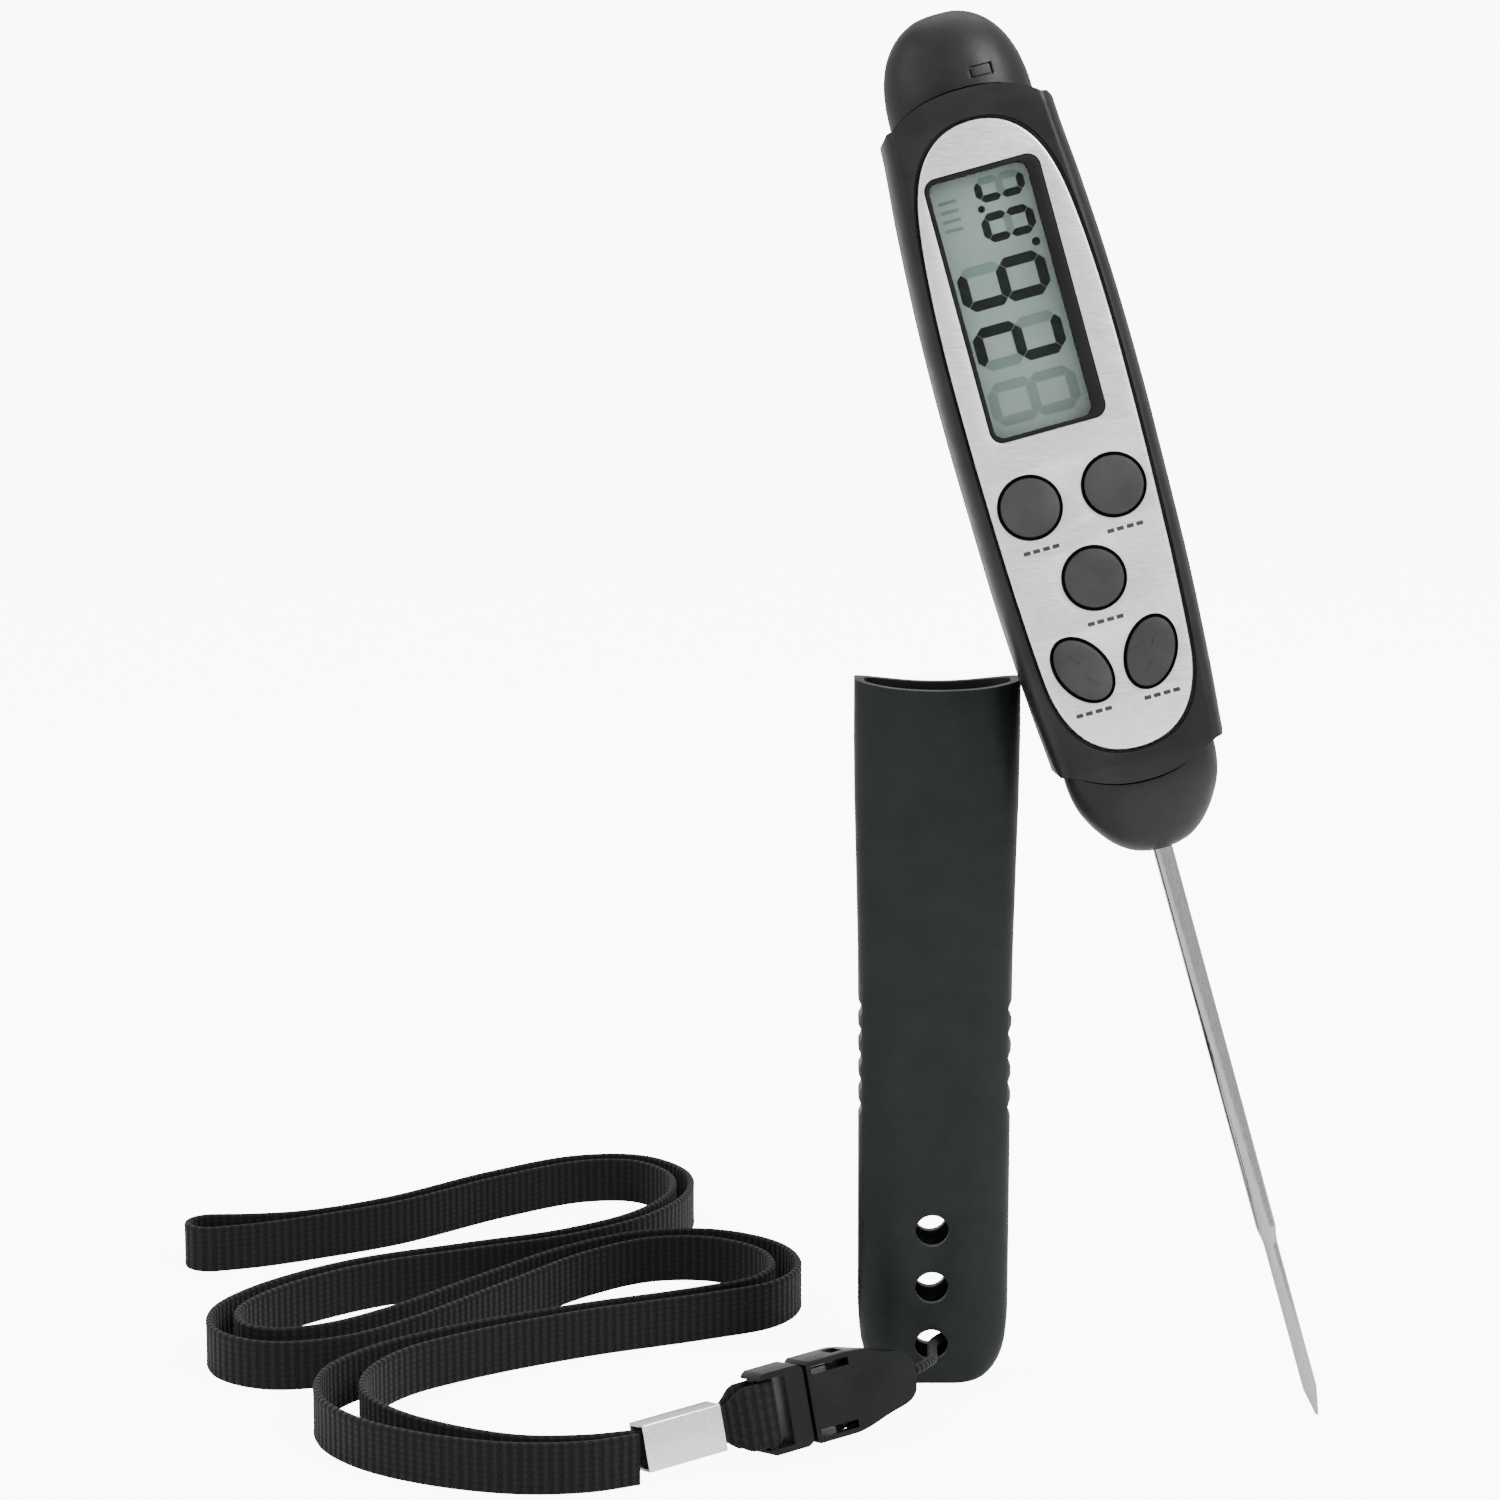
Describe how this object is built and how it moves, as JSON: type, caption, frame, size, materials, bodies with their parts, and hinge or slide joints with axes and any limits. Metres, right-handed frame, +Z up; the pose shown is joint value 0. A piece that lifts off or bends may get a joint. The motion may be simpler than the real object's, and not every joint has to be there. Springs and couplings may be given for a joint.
{
  "type": "stem thermometer with sheath and lanyard",
  "caption": "Pocket digital stem thermometer for soil or bedding, leaning on its upright probe sheath, with a neck lanyard clipped to the sheath.",
  "frame": {"origin": "centre of the base of the box round the sheath and the leaning thermometer, on the surface that they stand on", "axes": "+Z up along the standing sheath; +X to the right seen from the front; -Y towards the front, the side that the display faces"},
  "size_m": [0.145, 0.124, 0.1671],
  "materials": {
    "housing": "fine-textured satin black",
    "face_plate": "satin, finely brushed",
    "gasket": "matte",
    "lens": "clear, polished",
    "display": "grey-green liquid crystal panel",
    "zebra": "matte, layered",
    "board": "satin green solder mask",
    "chip": "glossy black potting",
    "membrane": "matte silicone",
    "keys": "matte",
    "seal": "matte silicone",
    "bush": "matte",
    "carrier": "matte moulded",
    "cell": "polished nickel",
    "contacts": "bright spring strip",
    "probe": "polished stainless steel",
    "bead": "glossy",
    "lead_red": "insulated wire",
    "lead_black": "insulated wire",
    "sheath": "satin dark green-black",
    "crimp": "satin",
    "buckle": "semi-gloss black",
    "strap": "ribbed woven polyester",
    "tether": "braided cord"
  },
  "bodies": {
    "sheath": {"sheath": "sheath", "buckle_socket": "buckle", "tether_cord": "tether"},
    "thermometer": {"front_shell": "housing", "rear_shell": "housing", "face_plate": "face_plate", "window_gasket": "gasket", "window_lens": "lens", "display_panel": "display", "zebra_strip": "zebra", "circuit_board": "board", "control_chip": "chip", "keypad_membrane": "membrane", "contact_minus": "contacts", "contact_plus": "contacts", "nose": "housing", "probe_seal": "bush", "probe_tube": "probe", "thermistor": "bead", "sensor_lead_left": "lead_red", "sensor_lead_right": "lead_black"},
    "battery_cap": {"battery_cap": "housing", "cap_seal": "seal", "battery_carrier": "carrier", "button_cell": "cell"},
    "lanyard": {"buckle_plug": "buckle", "strap_tail": "strap", "crimp": "crimp", "lanyard_strap": "strap"},
    "key_upper_left": {"key_upper_left": "keys"},
    "key_upper_right": {"key_upper_right": "keys"},
    "key_centre": {"key_centre": "keys"},
    "key_lower_left": {"key_lower_left": "keys"},
    "key_lower_right": {"key_lower_right": "keys"}
  },
  "joints": [
    {"name": "thermometer_lift", "type": "slide", "parent": "sheath", "child": "thermometer", "axis": [-0.2672, 0.1133, 0.957], "range_m": [0, 0.1]},
    {"name": "battery_cap_pull", "type": "slide", "parent": "thermometer", "child": "battery_cap", "axis": [-0.2672, 0.1133, 0.957], "range_m": [0, 0.02]},
    {"name": "buckle_release", "type": "slide", "parent": "sheath", "child": "lanyard", "axis": [-0.866, -0.5, 0], "range_m": [0, 0.02], "deforming": ["buckle_plug"]},
    {"name": "key_upper_left_press", "type": "slide", "parent": "thermometer", "child": "key_upper_left", "axis": [0, 0.9931, -0.1175], "range_m": [0, 0.0007], "stiffness_N_per_m": 300},
    {"name": "key_upper_right_press", "type": "slide", "parent": "thermometer", "child": "key_upper_right", "axis": [0, 0.9931, -0.1175], "range_m": [0, 0.0007], "stiffness_N_per_m": 300},
    {"name": "key_centre_press", "type": "slide", "parent": "thermometer", "child": "key_centre", "axis": [0, 0.9931, -0.1175], "range_m": [0, 0.0007], "stiffness_N_per_m": 300},
    {"name": "key_lower_left_press", "type": "slide", "parent": "thermometer", "child": "key_lower_left", "axis": [0, 0.9931, -0.1175], "range_m": [0, 0.0007], "stiffness_N_per_m": 300},
    {"name": "key_lower_right_press", "type": "slide", "parent": "thermometer", "child": "key_lower_right", "axis": [0, 0.9931, -0.1175], "range_m": [0, 0.0007], "stiffness_N_per_m": 300}
  ]
}
